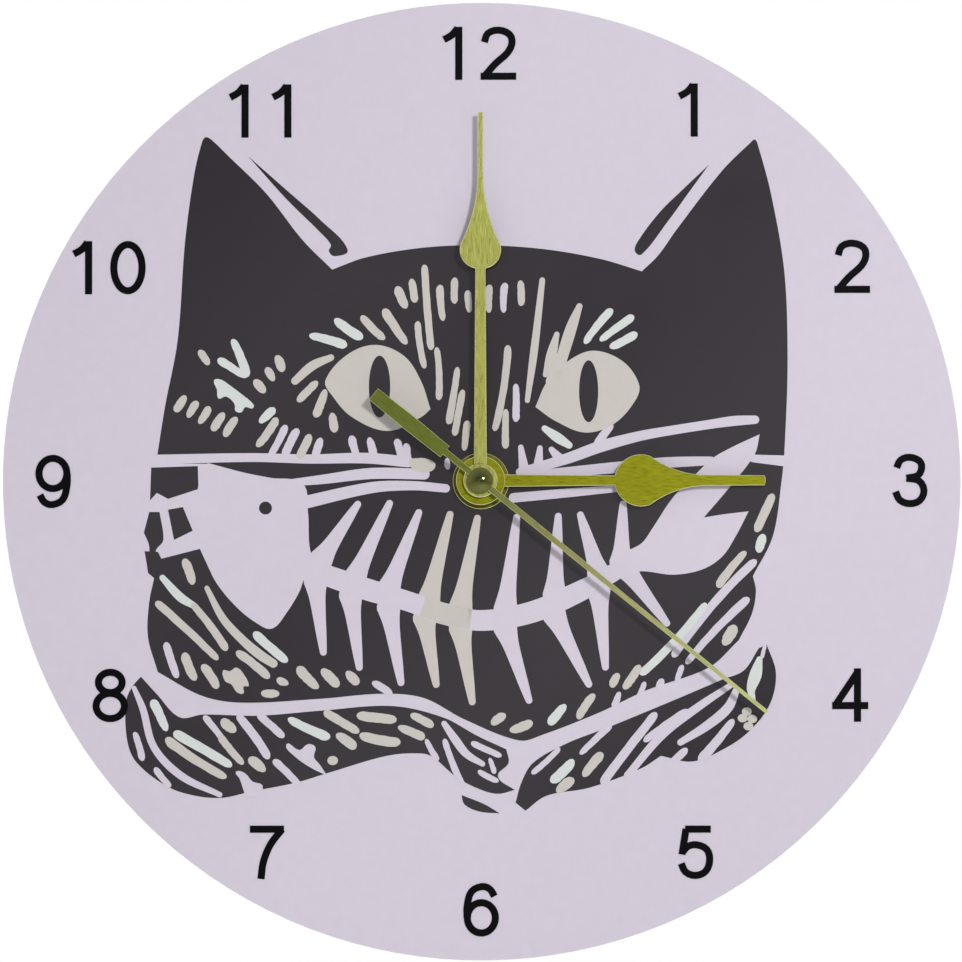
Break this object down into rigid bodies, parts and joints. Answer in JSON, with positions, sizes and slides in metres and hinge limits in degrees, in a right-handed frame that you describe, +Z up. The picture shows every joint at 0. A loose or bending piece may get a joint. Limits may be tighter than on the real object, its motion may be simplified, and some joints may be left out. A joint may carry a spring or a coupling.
{
  "type": "round printed wall clock",
  "caption": "Round frameless wall clock: a flat glossy disc printed with a block-print cat face and plain numerals, gold spade hands and a battery movement behind the centre.",
  "frame": {"origin": "on the axis of the hands, at the flat back of the movement, which rests on the wall", "axes": "+Y out of the back towards the wall, -Y towards the viewer, +Z up to twelve o'clock, +X to three o'clock as seen from the front"},
  "size_m": [0.25, 0.0278, 0.25],
  "materials": {
    "printed_film": "gloss print, lilac and near black",
    "dial_board": "pressed fibre board, brown",
    "case_black": "fine matte moulding, black",
    "cover_black": "fine matte moulding, black",
    "knob_black": "satin moulding, black",
    "plate_white": "natural white moulding",
    "wheel_white": "natural white acetal",
    "rubber_black": "matte black rubber",
    "washer_brass": "bright brass",
    "board_green": "green solder mask",
    "resin_black": "black potting resin",
    "can_steel": "drawn bright can",
    "soft_iron": "plain rolled iron",
    "bobbin_white": "white nylon",
    "wire_copper": "enamelled copper wire",
    "contact_steel": "nickel-plated spring strip",
    "arbor_steel": "ground steel rod",
    "magnet_grey": "sintered magnet",
    "hand_gold": "gold anodised, brushed lengthwise",
    "cap_gold": "gold anodised, polished",
    "battery_shell": "bright nickel-plated",
    "battery_sleeve": "plain two-tone shrink sleeve"
  },
  "bodies": {
    "clock": {"dial_plate": "dial_board", "printed_face": "printed_film", "front_case": "case_black", "rear_cover": "cover_black", "middle_plate": "plate_white", "rubber_gasket": "rubber_black", "brass_washer": "washer_brass", "hex_nut": "washer_brass", "circuit_board": "board_green", "chip_cover": "resin_black", "quartz_crystal": "can_steel", "coil_core": "soft_iron", "coil_bobbin": "bobbin_white", "coil_winding": "wire_copper", "stator_plate": "soft_iron", "contact_positive": "contact_steel", "contact_negative": "contact_steel", "contact_spring": "contact_steel"},
    "minutes": {"centre_wheel": "wheel_white", "minute_pipe": "wheel_white", "minute_hand": "hand_gold"},
    "hours": {"hour_wheel": "wheel_white", "hour_hand": "hand_gold"},
    "seconds": {"seconds_arbor": "arbor_steel", "seconds_wheel": "wheel_white", "second_hand": "hand_gold", "second_hand_cap": "cap_gold"},
    "setting": {"setting_wheel": "wheel_white", "setting_knob": "knob_black"},
    "third": {"third_wheel": "wheel_white"},
    "intermediate": {"intermediate_wheel": "wheel_white"},
    "rotor": {"rotor_pinion": "wheel_white", "rotor_magnet": "magnet_grey"},
    "battery": {"battery_can": "battery_shell", "battery_label": "battery_sleeve", "battery_cap": "battery_shell"}
  },
  "joints": [
    {"name": "minute_turn", "type": "hinge", "parent": "clock", "child": "minutes", "pos_m": [0, 0, 0], "axis": [0, 1, 0], "continuous": true},
    {"name": "hour_turn", "type": "hinge", "parent": "clock", "child": "hours", "pos_m": [0, 0, 0], "axis": [0, 1, 0], "continuous": true},
    {"name": "second_turn", "type": "hinge", "parent": "clock", "child": "seconds", "pos_m": [0, 0, 0], "axis": [0, 1, 0], "continuous": true},
    {"name": "setting_turn", "type": "hinge", "parent": "clock", "child": "setting", "pos_m": [-0.00748, 0, 0.00432], "axis": [0, 1, 0], "continuous": true},
    {"name": "third_turn", "type": "hinge", "parent": "clock", "child": "third", "pos_m": [0.00374, 0, 0.00648], "axis": [0, 1, 0], "continuous": true},
    {"name": "intermediate_turn", "type": "hinge", "parent": "clock", "child": "intermediate", "pos_m": [0.00745, 0, -0.00131], "axis": [0, 1, 0], "continuous": true},
    {"name": "rotor_turn", "type": "hinge", "parent": "clock", "child": "rotor", "pos_m": [0.01194, 0, 0.00405], "axis": [0, 1, 0], "continuous": true},
    {"name": "battery_slide", "type": "slide", "parent": "clock", "child": "battery", "axis": [0, 1, 0], "range_m": [0, 0.03]}
  ],
  "couplings": [
    {"joint": "minute_turn", "follows": "second_turn", "ratio": 0.016667},
    {"joint": "hour_turn", "follows": "second_turn", "ratio": 0.0013889},
    {"joint": "third_turn", "follows": "second_turn", "ratio": -0.13333},
    {"joint": "intermediate_turn", "follows": "second_turn", "ratio": -5},
    {"joint": "rotor_turn", "follows": "second_turn", "ratio": 30},
    {"joint": "setting_turn", "follows": "second_turn", "ratio": -0.0055556}
  ]
}
